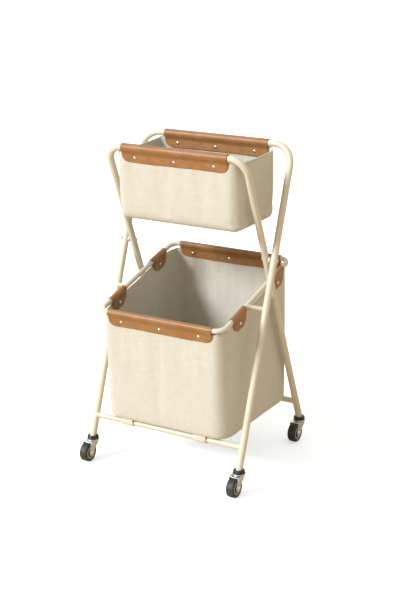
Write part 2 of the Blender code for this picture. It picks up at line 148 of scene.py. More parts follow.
def mapVector(tree, vector, scale):
    mapping = tree.nodes.new("ShaderNodeMapping")
    mapping.inputs["Scale"].default_value = scale
    tree.links.new(vector, mapping.inputs["Vector"])
    return mapping.outputs["Vector"]


def noiseNode(tree, vector, scale, detail=2.0, roughness=0.5):
    noise = tree.nodes.new("ShaderNodeTexNoise")
    tree.links.new(vector, noise.inputs["Vector"])
    if isinstance(scale, (int, float)):
        noise.inputs["Scale"].default_value = scale
    else:
        tree.links.new(scale, noise.inputs["Scale"])
    noise.inputs["Detail"].default_value = detail
    noise.inputs["Roughness"].default_value = roughness
    return noise.outputs["Fac"]


def rangeNode(tree, value, low, high, toLow=0.0, toHigh=1.0):
    span = tree.nodes.new("ShaderNodeMapRange")
    span.interpolation_type = "SMOOTHSTEP"
    tree.links.new(value, span.inputs["Value"])
    for label, number in (("From Min", low), ("From Max", high), ("To Min", toLow),
                          ("To Max", toHigh)):
        if isinstance(number, (int, float)):
            span.inputs[label].default_value = number
        else:
            tree.links.new(number, span.inputs[label])
    return span.outputs["Result"]


def weaveGroup():
    # threads over and under each other, with thicker slubs along the weft
    tree, start, end = makeGroup(
        "threadWeave",
        [("Vector", "NodeSocketVector", None), ("Threads", "NodeSocketFloat", 1150.0)],
        [("Height", "NodeSocketFloat"), ("Slub", "NodeSocketFloat"), ("Cloud", "NodeSocketFloat")])
    vector = start.outputs["Vector"]
    split = tree.nodes.new("ShaderNodeSeparateXYZ")
    tree.links.new(vector, split.inputs["Vector"])
    wander = noiseNode(tree, mapVector(tree, vector, (40.0, 40.0, 40.0)), 1.0, 1.0)
    warp = mathNode(tree, "MULTIPLY_ADD", split.outputs["X"], start.outputs["Threads"], wander)
    weft = mathNode(tree, "MULTIPLY_ADD", split.outputs["Y"], start.outputs["Threads"], wander)
    warpRound = mathNode(tree, "ABSOLUTE",
                         mathNode(tree, "SINE", mathNode(tree, "MULTIPLY", warp, math.pi)))
    weftRound = mathNode(tree, "ABSOLUTE",
                         mathNode(tree, "SINE", mathNode(tree, "MULTIPLY", weft, math.pi)))
    checks = mathNode(tree, "ADD", mathNode(tree, "FLOOR", warp), mathNode(tree, "FLOOR", weft))
    over = mathNode(tree, "ABSOLUTE", mathNode(tree, "MODULO", checks, 2.0))
    mix = tree.nodes.new("ShaderNodeMix")
    tree.links.new(over, mix.inputs["Factor"])
    tree.links.new(warpRound, mix.inputs["A"])
    tree.links.new(weftRound, mix.inputs["B"])
    slubLong = noiseNode(tree, mapVector(tree, vector, (26.0, 620.0, 1.0)), 1.0, 3.0, 0.65)
    slubCross = noiseNode(tree, mapVector(tree, vector, (560.0, 30.0, 1.0)), 1.0, 2.0, 0.6)
    slub = mathNode(tree, "MULTIPLY_ADD", slubCross, 0.4, mathNode(tree, "MULTIPLY", slubLong, 0.6))
    slub = rangeNode(tree, slub, 0.34, 0.68)
    height = mathNode(tree, "MULTIPLY_ADD", slub, 0.9, mix.outputs["Result"])
    cloud = noiseNode(tree, vector, 14.0, 3.0)
    tree.links.new(height, end.inputs["Height"])
    tree.links.new(slub, end.inputs["Slub"])
    tree.links.new(cloud, end.inputs["Cloud"])
    return tree


def grainGroup():
    # fine bumps with larger clouds, for coats, moulded plastic and hide
    tree, start, end = makeGroup(
        "fineGrain",
        [("Vector", "NodeSocketVector", None), ("Scale", "NodeSocketFloat", 900.0)],
        [("Height", "NodeSocketFloat"), ("Pores", "NodeSocketFloat"), ("Cloud", "NodeSocketFloat")])
    vector = start.outputs["Vector"]
    scale = start.outputs["Scale"]
    height = noiseNode(tree, vector, scale, 3.0, 0.55)
    cells = tree.nodes.new("ShaderNodeTexVoronoi")
    cells.feature = "DISTANCE_TO_EDGE"
    tree.links.new(vector, cells.inputs["Vector"])
    tree.links.new(scale, cells.inputs["Scale"])
    pores = rangeNode(tree, cells.outputs["Distance"], 0.0, 0.16)
    cloud = noiseNode(tree, vector, mathNode(tree, "MULTIPLY", scale, 0.035), 4.0, 0.6)
    tree.links.new(height, end.inputs["Height"])
    tree.links.new(pores, end.inputs["Pores"])
    tree.links.new(cloud, end.inputs["Cloud"])
    return tree


def wearGroup():
    # thin rubbed streaks and small marks
    tree, start, end = makeGroup(
        "rubbedMarks",
        [("Vector", "NodeSocketVector", None), ("Amount", "NodeSocketFloat", 0.5)],
        [("Mask", "NodeSocketFloat")])
    streak = noiseNode(tree, mapVector(tree, start.outputs["Vector"], (900.0, 900.0, 90.0)), 1.0,
                       3.0, 0.7)
    patch = noiseNode(tree, start.outputs["Vector"], 38.0, 2.0)
    streak = rangeNode(tree, streak, 0.62, 0.74)
    patch = rangeNode(tree, patch, 0.52, 0.70)
    both = mathNode(tree, "MULTIPLY", mathNode(tree, "MULTIPLY", streak, patch),
                    start.outputs["Amount"])
    tree.links.new(both, end.inputs["Mask"])
    return tree


def dustGroup():
    # dust that thins out with height above the floor
    tree, start, end = makeGroup(
        "floorDust",
        [("Vector", "NodeSocketVector", None), ("Reach", "NodeSocketFloat", 0.05),
         ("Amount", "NodeSocketFloat", 0.4)],
        [("Mask", "NodeSocketFloat")])
    split = tree.nodes.new("ShaderNodeSeparateXYZ")
    tree.links.new(start.outputs["Vector"], split.inputs["Vector"])
    low = rangeNode(tree, split.outputs["Z"], 0.0, start.outputs["Reach"], 1.0, 0.0)
    spots = rangeNode(tree, noiseNode(tree, start.outputs["Vector"], 260.0, 4.0, 0.7), 0.42, 0.7)
    both = mathNode(tree, "MULTIPLY", mathNode(tree, "MULTIPLY", low, spots),
                    start.outputs["Amount"])
    tree.links.new(both, end.inputs["Mask"])
    return tree


groups = {"weave": weaveGroup(), "grain": grainGroup(), "wear": wearGroup(), "dust": dustGroup()}


# ---- materials ----

def useGroup(tree, name, vector, **values):
    step = tree.nodes.new("ShaderNodeGroup")
    step.node_tree = groups[name]
    tree.links.new(vector, step.inputs["Vector"])
    for label, value in values.items():
        step.inputs[label].default_value = value
    return step


def mixColour(tree, factor, first, second, blend="MIX"):
    mix = tree.nodes.new("ShaderNodeMix")
    mix.data_type = "RGBA"
    mix.blend_type = blend
    if isinstance(factor, (int, float)):
        mix.inputs[0].default_value = factor
    else:
        tree.links.new(factor, mix.inputs[0])
    for place, colour in ((6, first), (7, second)):
        if isinstance(colour, tuple):
            mix.inputs[place].default_value = (*colour, 1.0)
        else:
            tree.links.new(colour, mix.inputs[place])
    return mix.outputs[2]


def newMaterial(name, **values):
    material = bpy.data.materials.new(name)
    material.use_nodes = True
    tree = material.node_tree
    shader = tree.nodes["Principled BSDF"]
    for label, value in values.items():
        shader.inputs[label].default_value = value
    texture = tree.nodes.new("ShaderNodeTexCoord")
    return material, tree, shader, texture


def addBump(tree, shader, height, strength, distance):
    bump = tree.nodes.new("ShaderNodeBump")
    bump.inputs["Strength"].default_value = strength
    bump.inputs["Distance"].default_value = distance
    tree.links.new(height, bump.inputs["Height"])
    tree.links.new(bump.outputs["Normal"], shader.inputs["Normal"])


def clothMaterial(name, colour, settings):
    material, tree, shader, texture = newMaterial(name, **{"Sheen Weight": settings["sheen"],
                                                           "Sheen Roughness": 0.6,
                                                           "Specular IOR Level": 0.2})
    weave = useGroup(tree, "weave", texture.outputs["UV"], Threads=settings["threads"])
    dark = tuple(part * settings["shade"] for part in colour)
    light = tuple(min(1.0, part * settings["light"]) for part in colour)
    base = mixColour(tree, weave.outputs["Slub"], dark, light)
    # painted shade: the low parts of the weave, between the threads, are darkened
    paintedGapShade = rangeNode(tree, weave.outputs["Height"], 0.1, 1.2, 0.35, 0.0)
    base = mixColour(tree, paintedGapShade, base, tuple(part * 0.62 for part in colour))
    cloud = rangeNode(tree, weave.outputs["Cloud"], 0.3, 0.7, 0.0, 0.16)
    base = mixColour(tree, cloud, base, tuple(part * 0.86 for part in colour))
    tree.links.new(base, shader.inputs["Base Color"])
    rough = rangeNode(tree, weave.outputs["Slub"], 0.0, 1.0, 0.95, 0.8)
    tree.links.new(rough, shader.inputs["Roughness"])
    addBump(tree, shader, weave.outputs["Height"], settings["bump"], 0.0004)
    return material


def paintMaterial(name, colour):
    material, tree, shader, texture = newMaterial(name, **{"Coat Weight": 0.12, "Coat Roughness": 0.3,
                                                           "Specular IOR Level": 0.5})
    vector = texture.outputs["Object"]
    grain = useGroup(tree, "grain", vector, Scale=1500.0)
    marks = useGroup(tree, "wear", vector, Amount=0.35)
    dust = useGroup(tree, "dust", vector, Reach=0.12, Amount=0.3)
    base = mixColour(tree, grain.outputs["Cloud"], tuple(part * 0.95 for part in colour), colour)
    base = mixColour(tree, marks.outputs["Mask"], base, (0.42, 0.37, 0.29))
    base = mixColour(tree, dust.outputs["Mask"], base, (0.36, 0.32, 0.26))
    tree.links.new(base, shader.inputs["Base Color"])
    rough = rangeNode(tree, grain.outputs["Cloud"], 0.3, 0.7, 0.3, 0.42)
    tree.links.new(rough, shader.inputs["Roughness"])
    addBump(tree, shader, grain.outputs["Height"], 0.12, 0.0002)
    return material


def leatherMaterial(name, colour):
    material, tree, shader, texture = newMaterial(name, **{"Specular IOR Level": 0.45,
                                                           "Sheen Weight": 0.05})
    vector = texture.outputs["Object"]
    grain = useGroup(tree, "grain", vector, Scale=780.0)
    broad = useGroup(tree, "grain", vector, Scale=1300.0)
    marks = useGroup(tree, "wear", vector, Amount=0.5)
    nearEdge = tree.nodes.new("ShaderNodeAttribute")
    nearEdge.attribute_name = "nearEdge"
    fold = tree.nodes.new("ShaderNodeAttribute")
    fold.attribute_name = "paintedCreaseShade"
    dark = tuple(part * factor for part, factor in zip(colour, (0.84, 0.76, 0.66)))
    light = tuple(min(1.0, part * factor) for part, factor in zip(colour, (1.08, 1.11, 1.15)))
    base = mixColour(tree, rangeNode(tree, broad.outputs["Cloud"], 0.25, 0.75), dark, light)
    base = mixColour(tree, rangeNode(tree, grain.outputs["Pores"], 0.0, 1.0, 0.45, 0.0), base, dark)
    base = mixColour(tree, marks.outputs["Mask"], base, light)
    # painted shade: the leather is darkened towards its dark tone along the crease band under the tube
    base = mixColour(tree, rangeNode(tree, fold.outputs["Fac"], 0.0, 1.0, 0.0, 0.45), base, dark)
    base = mixColour(tree, rangeNode(tree, nearEdge.outputs["Fac"], 0.3, 1.0, 0.0, 0.7), base,
                     tuple(part * factor for part, factor in zip(colour, (0.45, 0.34, 0.26))))
    tree.links.new(base, shader.inputs["Base Color"])
    rough = rangeNode(tree, grain.outputs["Cloud"], 0.3, 0.7, 0.38, 0.5)
    tree.links.new(rough, shader.inputs["Roughness"])
    height = mathNode(tree, "MULTIPLY_ADD", grain.outputs["Pores"], 0.8, grain.outputs["Height"])
    addBump(tree, shader, height, 0.22, 0.0003)
    return material


def metalMaterial(name, colour, roughness, dusty):
    material, tree, shader, texture = newMaterial(name, **{"Metallic": 1.0})
    vector = texture.outputs["Object"]
    grain = useGroup(tree, "grain", vector, Scale=2200.0)
    marks = useGroup(tree, "wear", vector, Amount=0.8)
    dust = useGroup(tree, "dust", vector, Reach=0.06, Amount=dusty)
    base = mixColour(tree, grain.outputs["Cloud"], tuple(part * 0.88 for part in colour), colour)
    base = mixColour(tree, marks.outputs["Mask"], base, tuple(part * 0.6 for part in colour))
    base = mixColour(tree, dust.outputs["Mask"], base, (0.30, 0.27, 0.23))
    tree.links.new(base, shader.inputs["Base Color"])
    rough = rangeNode(tree, grain.outputs["Cloud"], 0.3, 0.7, roughness, roughness + 0.14)
    rough = mathNode(tree, "MULTIPLY_ADD", marks.outputs["Mask"], 0.3, rough)
    rough = mathNode(tree, "ADD", rough, mathNode(tree, "MULTIPLY", dust.outputs["Mask"], 0.5))
    tree.links.new(rough, shader.inputs["Roughness"])
    addBump(tree, shader, grain.outputs["Height"], 0.05, 0.0002)
    return material


def mouldedMaterial(name, colour, roughness, scale, dusty):
    material, tree, shader, texture = newMaterial(name, **{"Specular IOR Level": 0.5})
    vector = texture.outputs["Object"]
    grain = useGroup(tree, "grain", vector, Scale=scale)
    marks = useGroup(tree, "wear", vector, Amount=0.7)
    dust = useGroup(tree, "dust", vector, Reach=0.05, Amount=dusty)
    base = mixColour(tree, grain.outputs["Cloud"], tuple(part * 0.8 for part in colour), colour)
    base = mixColour(tree, marks.outputs["Mask"], base, tuple(part * 1.5 + 0.02 for part in colour))
    base = mixColour(tree, dust.outputs["Mask"], base, (0.24, 0.22, 0.19))
    tree.links.new(base, shader.inputs["Base Color"])
    rough = rangeNode(tree, grain.outputs["Cloud"], 0.3, 0.7, roughness, roughness + 0.16)
    tree.links.new(rough, shader.inputs["Roughness"])
    addBump(tree, shader, grain.outputs["Height"], 0.2, 0.0003)
    return material


def boardMaterial(name, colour):
    material, tree, shader, texture = newMaterial(name, **{"Sheen Weight": 0.1})
    weave = useGroup(tree, "weave", texture.outputs["Object"], Threads=1000.0)
    grain = useGroup(tree, "grain", texture.outputs["Object"], Scale=500.0)
    base = mixColour(tree, weave.outputs["Slub"], tuple(part * 0.8 for part in colour), colour)
    base = mixColour(tree, rangeNode(tree, grain.outputs["Cloud"], 0.35, 0.7, 0.0, 0.3), base,
                     tuple(part * 0.75 for part in colour))
    tree.links.new(base, shader.inputs["Base Color"])
    rough = rangeNode(tree, weave.outputs["Slub"], 0.0, 1.0, 0.95, 0.82)
    tree.links.new(rough, shader.inputs["Roughness"])
    addBump(tree, shader, weave.outputs["Height"], 0.5, 0.0003)
    return material


def floorMaterial():
    # a white sweep that throws a softer, warmer light back at the object
    material, tree, shader, texture = newMaterial("paleFloor", **{"Specular IOR Level": 0.1,
                                                                  "Emission Strength": 0.55})
    cloud = noiseNode(tree, texture.outputs["Object"], 3.0, 4.0)
    base = mixColour(tree, cloud, (0.93, 0.925, 0.915), (0.95, 0.945, 0.94))
    tree.links.new(base, shader.inputs["Base Color"])
    shader.inputs["Emission Color"].default_value = (0.72, 0.86, 1.0, 1.0)
    tree.links.new(rangeNode(tree, cloud, 0.0, 1.0, 0.85, 0.95), shader.inputs["Roughness"])
    bounce = tree.nodes.new("ShaderNodeBsdfDiffuse")
    bounce.inputs["Color"].default_value = (0.62, 0.52, 0.38, 1.0)
    path = tree.nodes.new("ShaderNodeLightPath")
    mix = tree.nodes.new("ShaderNodeMixShader")
    tree.links.new(path.outputs["Is Camera Ray"], mix.inputs["Fac"])
    tree.links.new(bounce.outputs["BSDF"], mix.inputs[1])
    tree.links.new(shader.outputs["BSDF"], mix.inputs[2])
    tree.links.new(mix.outputs["Shader"], tree.nodes["Material Output"].inputs["Surface"])
    return material


linenColour = (0.61, 0.583, 0.527)
materials = {
    "ivory_paint": paintMaterial("ivoryPaint", (0.65, 0.60, 0.505)),
    "linen": clothMaterial("linenCloth", linenColour,
                           {"threads": 1150.0, "shade": 0.94, "light": 1.03, "bump": 0.35,
                            "sheen": 0.2}),
    "piping": clothMaterial("pipingCloth", (0.67, 0.635, 0.56),
                            {"threads": 1500.0, "shade": 0.92, "light": 1.05, "bump": 0.35,
                             "sheen": 0.2}),
    "covered_board": boardMaterial("coveredBoard", (0.50, 0.44, 0.35)),
    "tan_leather": leatherMaterial("tanLeather", (0.322, 0.153, 0.056)),
    "nickel": metalMaterial("brushedNickel", (0.58, 0.56, 0.52), 0.2, 0.0),
    "chrome": metalMaterial("casterChrome", (0.80, 0.80, 0.80), 0.28, 0.25),
    "black_rubber": mouldedMaterial("blackRubber", (0.016, 0.017, 0.02), 0.5, 900.0, 0.5),
    "grey_nylon": mouldedMaterial("greyNylon", (0.42, 0.42, 0.41), 0.45, 700.0, 0.3),
    "black_plastic": mouldedMaterial("blackPlastic", (0.012, 0.012, 0.013), 0.32, 1100.0, 0.3),
}
print("materials made:", len(materials))


# ---- tools for modelling ----

def pickNone():
    if bpy.context.object is not None and bpy.context.object.mode != "OBJECT":
        bpy.ops.object.mode_set(mode="OBJECT")
    bpy.ops.object.select_all(action="DESELECT")


def pickOnly(piece):
    pickNone()
    piece.select_set(True)
    bpy.context.view_layer.objects.active = piece


def pullOut(step):
    bpy.ops.mesh.extrude_region_move(TRANSFORM_OT_translate={"value": tuple(step)})


def closeUp(smoothAngle=38):
    # merge doubles, turn the faces outwards and shade
    bpy.ops.mesh.select_all(action="SELECT")
    bpy.ops.mesh.remove_doubles(threshold=0.000004)
    bpy.ops.mesh.normals_make_consistent(inside=False)
    bpy.ops.object.mode_set(mode="OBJECT")
    bpy.ops.object.shade_smooth_by_angle(angle=math.radians(smoothAngle))


def startPoint(name, place):
    # a small plane merged to one point, to be pulled out from
    pickNone()
    bpy.ops.mesh.primitive_plane_add(size=0.001, location=place)
    piece = bpy.context.object
    piece.name = name
    piece.data.name = name
    bpy.ops.object.transform_apply(location=True, rotation=True, scale=True)
    bpy.ops.object.mode_set(mode="EDIT")
    bpy.ops.mesh.select_all(action="SELECT")
    bpy.ops.mesh.merge(type="CENTER")
    return piece


def pullThrough(points):
    for before, after in zip(points, points[1:]):
        pullOut(Vector(after) - Vector(before))


def turnedPiece(name, profile, centre, axis, steps=48, smoothAngle=38):
    # a (radius, along) profile spun round an axis
    centre = Vector(centre)
    axis = Vector(axis).normalized()
    out = axis.orthogonal().normalized()
    points = [centre + out * radius + axis * along for radius, along in profile]
    piece = startPoint(name, points[0])
    pullThrough(points)
    bpy.ops.mesh.select_all(action="SELECT")
    bpy.ops.mesh.spin(steps=steps, angle=2 * math.pi, center=centre, axis=axis)
    closeUp(smoothAngle)
    return piece


def bentTube(name, radius, start, heading, moves, sides=40, loop=False):
    # a ring pulled along straight runs and spun round bends
    pickNone()
    position = Vector(start)
    heading = Vector(heading).normalized()
    bpy.ops.mesh.primitive_circle_add(vertices=sides, radius=radius, location=position,
                                      rotation=heading.to_track_quat("Z", "Y").to_euler())
    piece = bpy.context.object
    piece.name = name
    piece.data.name = name
    bpy.ops.object.transform_apply(location=True, rotation=True, scale=True)
    bpy.ops.object.mode_set(mode="EDIT")
    bpy.ops.mesh.select_all(action="SELECT")
    for move in moves:
        if move[0] == "straight":
            pullOut(heading * move[1])
            position = position + heading * move[1]
        else:
            axis, bend, degrees, steps = move[1:]
            axis = Vector(axis).normalized()
            centre = position + axis.cross(heading) * bend
            angle = math.radians(degrees)
            bpy.ops.mesh.spin(steps=steps, angle=angle, center=centre, axis=-axis)
            turn = Matrix.Rotation(angle, 3, axis)
            position = centre + turn @ (position - centre)
            heading = turn @ heading
    if not loop:
        bpy.ops.mesh.select_all(action="SELECT")
        bpy.ops.mesh.remove_doubles(threshold=0.000004)
        bpy.ops.mesh.fill_holes(sides=0)
    closeUp(50)
    return piece


def applyModifier(piece, kind, **values):
    pickOnly(piece)
    step = piece.modifiers.new("step", kind)
    for label, value in values.items():
        setattr(step, label, value)
    bpy.ops.object.modifier_apply(modifier=step.name)


def joinPieces(pieces):
    pickOnly(pieces[0])
    for other in pieces[1:]:
        other.select_set(True)
    bpy.ops.object.join()
    return pieces[0]


def copyPiece(source, name, shift):
    piece = source.copy()
    piece.data = source.data.copy()
    piece.name = name
    piece.data.name = name
    piece.data.transform(Matrix.Translation(shift))
    bpy.context.collection.objects.link(piece)
    return piece


def dress(piece, slot, finish=None):
    piece.data.materials.clear()
    piece.data.materials.append(materials[finish or slot])


def finishPiece(piece, body, nodes, slot, finish=None):
    dress(piece, slot, finish)
    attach(piece, body)
    if nodes:
        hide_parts(*nodes)


def arcPoints(centreX, centreY, radius, start, end, steps):
    points = []
    for step in range(steps + 1):
        angle = math.radians(start + (end - start) * step / steps)
        points.append((centreX + radius * math.cos(angle), centreY + radius * math.sin(angle)))
    return points


# ---- crossed frames ----

frameSizes = {"tube": 0.008, "foot": 0.0545, "rail": 0.754, "footReach": 0.170, "railReach": 0.093,
              "outerHalf": 0.202, "innerHalf": 0.181, "outerBend": 0.047, "innerBend": 0.041,
              "bar": 0.0065, "barHeight": 0.1038}
legRun = frameSizes["footReach"] + frameSizes["railReach"]
legRise = frameSizes["rail"] - frameSizes["foot"]
legLength = math.hypot(legRun, legRise)
legSlope = legRun / legRise
bodyOfLean = {-1: "outer_frame", 1: "inner_frame"}


def legPoint(side, lean, height):
    half = frameSizes["outerHalf"] if lean < 0 else frameSizes["innerHalf"]
    reach = lean * (frameSizes["footReach"] - legSlope * (height - frameSizes["foot"]))
    return Vector((side * half, foldY + reach, height))


def frameTube(name, node, half, bend, lean):
    up = Vector((0.0, -lean * legRun, legRise)).normalized()
    axis = up.cross(Vector((1.0, 0.0, 0.0)))
    run = legLength - bend
    moves = [("straight", run), ("bend", axis, bend, 90, 14), ("straight", 2 * (half - bend)),
             ("bend", axis, bend, 90, 14), ("straight", run)]
    piece = bentTube(name, frameSizes["tube"], legPoint(-1, lean, frameSizes["foot"]), up, moves)
    finishPiece(piece, bodyOfLean[lean], [node], "ivory_paint")


def weldedBar(name, node, body, start, end, radius, reach):
    # a bar between two tubes, with a small weld where it meets them
    start = Vector(start)
    end = Vector(end)
    length = (end - start).length
    half = [(0.0, 0.0), (radius + 0.0012, 0.0), (radius + 0.0012, reach - 0.0006),
            (radius + 0.0009, reach + 0.0006), (radius + 0.0003, reach + 0.0014),
            (radius, reach + 0.0026)]
    profile = half + [(along, length - place) for along, place in reversed(half)]
    piece = turnedPiece(name, profile, start, end - start, 36, 50)
    finishPiece(piece, body, [node], "ivory_paint")


frameTube("outerFrame", "outer_frame_tube", frameSizes["outerHalf"], frameSizes["outerBend"], -1)
frameTube("innerFrame", "inner_frame_tube", frameSizes["innerHalf"], frameSizes["innerBend"], 1)
for lean, name in ((-1, "front"), (1, "rear")):
    weldedBar(f"{name}Crossbar", f"{name}_crossbar", bodyOfLean[lean],
              legPoint(-1, lean, frameSizes["barHeight"]),
              legPoint(1, lean, frameSizes["barHeight"]),
              frameSizes["bar"], frameSizes["tube"] * 0.82)


def pivotHardware(side, label):
    start = frameSizes["innerHalf"] - frameSizes["tube"] - 0.0003
    end = frameSizes["outerHalf"] + frameSizes["tube"] + 0.0003
    profile = [(0.0, start - 0.0015), (0.0018, start - 0.0015), (0.0032, start - 0.0013),
               (0.0044, start - 0.0009), (0.0050, start - 0.0004), (0.0050, start), (0.003, start),
               (0.003, end), (0.0055, end), (0.0054, end + 0.0004), (0.0046, end + 0.0010),
               (0.0032, end + 0.0014), (0.0018, end + 0.0015), (0.0, end + 0.0015)]
    bolt = turnedPiece(f"{label}PivotBolt", profile, (0.0, foldY, foldZ), (side, 0.0, 0.0), 40)
    finishPiece(bolt, "outer_frame", [f"pivot_bolt_{label}"], "ivory_paint")
    low = frameSizes["innerHalf"] + frameSizes["tube"] + 0.0003
    high = frameSizes["outerHalf"] - frameSizes["tube"] - 0.0003
    ring = [(0.0033, low), (0.0062, low), (0.0066, low + 0.0004), (0.0066, high - 0.0004),
            (0.0062, high), (0.0033, high), (0.0033, low)]
    spacer = turnedPiece(f"{label}PivotWasher", ring, (0.0, foldY, foldZ), (side, 0.0, 0.0), 40)
    finishPiece(spacer, "outer_frame", [f"pivot_spacer_{label}"], "ivory_paint")


pivotHardware(-1, "left")
pivotHardware(1, "right")
print("frames, crossbars and bolts done")


# ---- tilted rim ----

rimSizes = {"tube": 0.006, "halfWidth": 0.1635, "halfDepth": 0.161, "middle": -0.011,
            "height": 0.4222, "slope": 0.258, "corner": 0.0235, "stub": 0.0048, "stubOnRim": -0.060,
            "stubOnLeg": 0.4010}
rimFront = rimSizes["middle"] - rimSizes["halfDepth"]
rimBack = rimSizes["middle"] + rimSizes["halfDepth"]


def rimZ(y):
    # height of the rim's centre line; y is measured from the fold bolts
    return rimSizes["height"] + rimSizes["slope"] * (y - rimSizes["middle"])


def rimRing():
    slope = rimSizes["slope"]
    corner = rimSizes["corner"]
    normal = Vector((0.0, -slope, 1.0)).normalized()
    across = 2 * (rimSizes["halfWidth"] - corner)
    deep = 2 * rimSizes["halfDepth"] * math.hypot(1.0, slope) - 2 * corner
    turn = ("bend", normal, corner, 90, 12)
    moves = [("straight", across / 2), turn, ("straight", deep), turn, ("straight", across),
             turn, ("straight", deep), turn, ("straight", across / 2)]
    piece = bentTube("lowerRim", rimSizes["tube"], (0.0, foldY + rimFront, rimZ(rimFront)),
                     (1.0, 0.0, 0.0), moves, 32, loop=True)
    finishPiece(piece, "outer_frame", ["lower_rim_ring"], "ivory_paint")


def rimStub(side, label):
    onLeg = legPoint(side, -1, rimSizes["stubOnLeg"])
    along = rimSizes["stubOnRim"]
    onRim = Vector((side * rimSizes["halfWidth"], foldY + along, rimZ(along)))
    weldedBar(f"{label}RimStub", f"rim_stub_{label}", "outer_frame", onRim, onLeg,
              rimSizes["stub"], rimSizes["tube"] * 0.9)


rimRing()
rimStub(-1, "left")
rimStub(1, "right")
print("rim done")


# ---- casters: one of each piece, then copies ----

casterSizes = {"wheel": 0.023, "halfWidth": 0.01025, "trail": 0.0235, "race": 0.0155,
               "forkHalf": 0.0125, "plate": 0.0014, "forkTop": 0.0480, "raceTop": 0.0497,
               "cupFloor": 0.0500, "cupTop": 0.0585, "cup": 0.0135}


def casterFork(name, foot):
    size = casterSizes
    half = size["forkHalf"]
    front = -size["trail"] - 0.001
    back = 0.0055
    top = size["forkTop"]
    outline = [(front, top), (back, top), (back, top - 0.003), (back - 0.0015, top - 0.0075)]
    outline += arcPoints(-size["trail"], size["wheel"], 0.0095, 15, -195, 14)
    outline += [(front - 0.002, top - 0.0075), (front - 0.001, top - 0.003)]
    points = [Vector((foot.x - half, foot.y + y, z)) for y, z in outline]
    fork = startPoint(name, points[0])
    pullThrough(points)
    bpy.ops.mesh.select_all(action="SELECT")
    bpy.ops.mesh.edge_face_add()
    pullOut((2 * half, 0.0, 0.0))
    closeUp()
    room = size["forkHalf"] - size["plate"]
    pickNone()
    bpy.ops.mesh.primitive_cube_add(size=1.0,
                                    location=(foot.x, foot.y - 0.01, (top - 0.0014) / 2 - 0.01),
                                    scale=(2 * room, 0.08, top - 0.0014 + 0.02))
    block = bpy.context.object
    applyModifier(fork, "BOOLEAN", object=block, operation="DIFFERENCE", solver="EXACT")
    bpy.data.objects.remove(block)
    applyModifier(fork, "BEVEL", width=0.0005, segments=2, limit_method="ANGLE", angle_limit=0.7)
    bpy.ops.object.shade_smooth_by_angle(angle=math.radians(35))
    race = size["race"]
    profile = [(0.0, top - 0.0002), (0.0128, top - 0.0002), (0.0128, top + 0.0004),
               (race - 0.0006, top + 0.0004),
               (race, top + 0.0007), (race, size["raceTop"] - 0.0004),
               (race - 0.0005, size["raceTop"]),
               (0.003, size["raceTop"]), (0.003, size["raceTop"] + 0.0066),
               (0.0, size["raceTop"] + 0.0066)]
    disc = turnedPiece("raceDisc", profile, (foot.x, foot.y, 0.0), (0.0, 0.0, 1.0), 48)
    return joinPieces([fork, disc])


def casterPieces():
    size = casterSizes
    foot = Vector((-frameSizes["outerHalf"], foldY - frameSizes["footReach"], 0.0))
    middle = (foot.x, foot.y - size["trail"], size["wheel"])
    sideways = (1.0, 0.0, 0.0)
    cup = size["cup"]
    low = size["cupFloor"]
    high = size["cupTop"]
    socket = [(0.0, low), (cup - 0.0012, low), (cup - 0.0003, low + 0.0004), (cup, low + 0.0012),
              (cup, high - 0.003), (cup - 0.0006, high - 0.0014), (cup - 0.0018, high - 0.0002),
              (cup - 0.0026, high), (cup - 0.0030, high - 0.0006), (0.0, high - 0.0016)]
    wide = size["halfWidth"]
    shoulder = arcPoints(wide - 0.0042, size["wheel"] - 0.0042, 0.0042, 0, 90, 6)
    tread = [(0.0162, wide - 0.0008), (0.0168, wide - 0.0002), (0.0176, wide)]
    tread += [(radius, along) for along, radius in shoulder]
    tyre = [(radius, -along) for radius, along in tread] + list(reversed(tread))
    tyre.append(tyre[0])
    ring = [(0.0120, 0.0078), (0.0124, 0.0094), (0.0130, 0.0099), (0.0158, 0.0096),
            (0.0163, 0.0090)]
    ring = [(radius, -along) for radius, along in ring] + list(reversed(ring))
    ring.append(ring[0])
    core = [(0.0034, 0.0095), (0.0070, 0.0095), (0.0076, 0.0090), (0.0082, 0.0064),
            (0.0124, 0.0060)]
    core = [(radius, -along) for radius, along in core] + list(reversed(core))
    core.append(core[0])
    head = size["forkHalf"]
    axle = [(0.0, head + 0.0028), (0.0030, head + 0.0028), (0.0046, head + 0.0022),
            (0.0052, head + 0.0012),
            (0.0052, head + 0.0003), (0.003, head + 0.0003)]
    axle = axle + [(radius, -along) for radius, along in reversed(axle)]
    return {
        "socket": turnedPiece("casterSocket", socket, foot, (0.0, 0.0, 1.0), 48, 40),
        "fork": casterFork("casterFork", foot),
        "tyre": turnedPiece("casterTyre", tyre, middle, sideways, 72, 40),
        "ring": turnedPiece("hubRing", ring, middle, sideways, 56, 40),
        "core": turnedPiece("hubCore", core, middle, sideways, 48, 40),
        "axle": turnedPiece("wheelAxle", axle, middle, sideways, 32, 40),
    }, foot


def placeCasters():
    masters, foot = casterPieces()
    rows = (("socket", None, "{0}_caster_socket", "black_plastic", None),
            ("fork", "{0}_caster", "{0}_caster_fork", "chrome", None),
            ("axle", "{0}_caster", "{0}_wheel_axle", "chrome", None),
            ("tyre", "{0}_wheel", "{0}_tyre", "black_rubber", None),
            ("ring", "{0}_wheel", "{0}_wheel_hub", "grey_nylon", None),
            ("core", "{0}_wheel", None, "black_plastic", None))
    for lean, end in ((-1, "front"), (1, "back")):
        for side, label in ((-1, "left"), (1, "right")):
            half = frameSizes["outerHalf"] if lean < 0 else frameSizes["innerHalf"]
            shift = Vector((side * half, foldY + lean * frameSizes["footReach"], 0.0)) - foot
            prefix = f"{end}_{label}"
            for key, body, node, slot, finish in rows:
                piece = copyPiece(masters[key], f"{prefix}_{masters[key].name}", shift)
                rides = body.format(prefix) if body else bodyOfLean[lean]
                finishPiece(piece, rides, [node.format(prefix)] if node else [], slot, finish)
    for master in masters.values():
        bpy.data.objects.remove(master)


placeCasters()
print("casters done")


